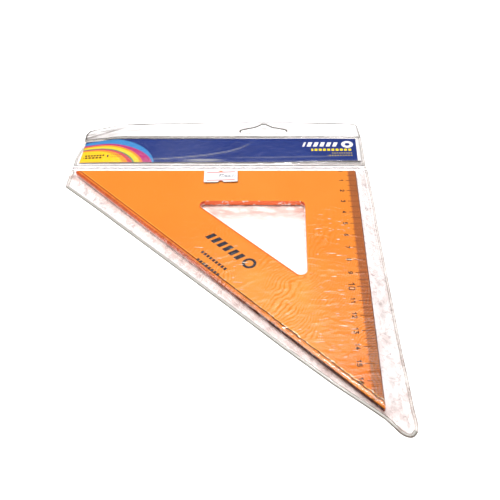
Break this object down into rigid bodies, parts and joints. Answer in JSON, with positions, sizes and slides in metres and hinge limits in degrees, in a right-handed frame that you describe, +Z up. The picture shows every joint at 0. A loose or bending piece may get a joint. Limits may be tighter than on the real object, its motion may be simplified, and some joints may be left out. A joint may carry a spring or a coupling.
{
  "type": "set square in hanging sleeve",
  "caption": "Clear orange 45 degree drafting set square with a printed scale, in a flat clear vinyl sleeve with a folding header card and hanging slot.",
  "frame": {"origin": "under the set square's right-angle corner, on the surface that the sleeve lies on", "axes": "+X out across the set square's scale edge, +Y from the set square towards the header and the hanging slot, +Z up out of the front film"},
  "size_m": [0.1922, 0.2403, 0.0051],
  "materials": {
    "orange_plastic": "polished, see-through",
    "black_ink": "printed",
    "film": "soft clear film, glossy",
    "weld": "fused clear film",
    "card": "coated printed card",
    "label_paper": "matt paper",
    "label_ink": "printed"
  },
  "bodies": {
    "sleeve": {"sleeve_back_film": "film", "sleeve_front_film": "film", "left_side_weld": "weld", "long_side_weld": "weld", "right_side_weld": "weld", "price_label": "label_paper", "price_label_lines": "label_ink"},
    "set_square": {"square_plate": "orange_plastic", "scale_ticks_mm": "black_ink", "scale_ticks_half_cm": "black_ink", "scale_ticks_cm": "black_ink", "scale_numerals": "black_ink", "plate_mark_bars": "black_ink", "plate_mark_ring": "black_ink", "plate_mark_rows": "black_ink"},
    "header": {"header_back_film": "film", "header_front_film": "film", "header_left_weld": "weld", "header_lower_weld": "weld", "header_right_weld": "weld", "header_upper_weld": "weld", "hang_strip": "film", "header_card": "card"}
  },
  "joints": [
    {"name": "set_square_slide", "type": "slide", "parent": "sleeve", "child": "set_square", "axis": [0, 1, 0], "range_m": [0, 0.185]},
    {"name": "header_fold", "type": "hinge", "parent": "sleeve", "child": "header", "pos_m": [0, 0.009, 0], "axis": [1, 0, 0], "range_deg": [-170, 0]}
  ]
}
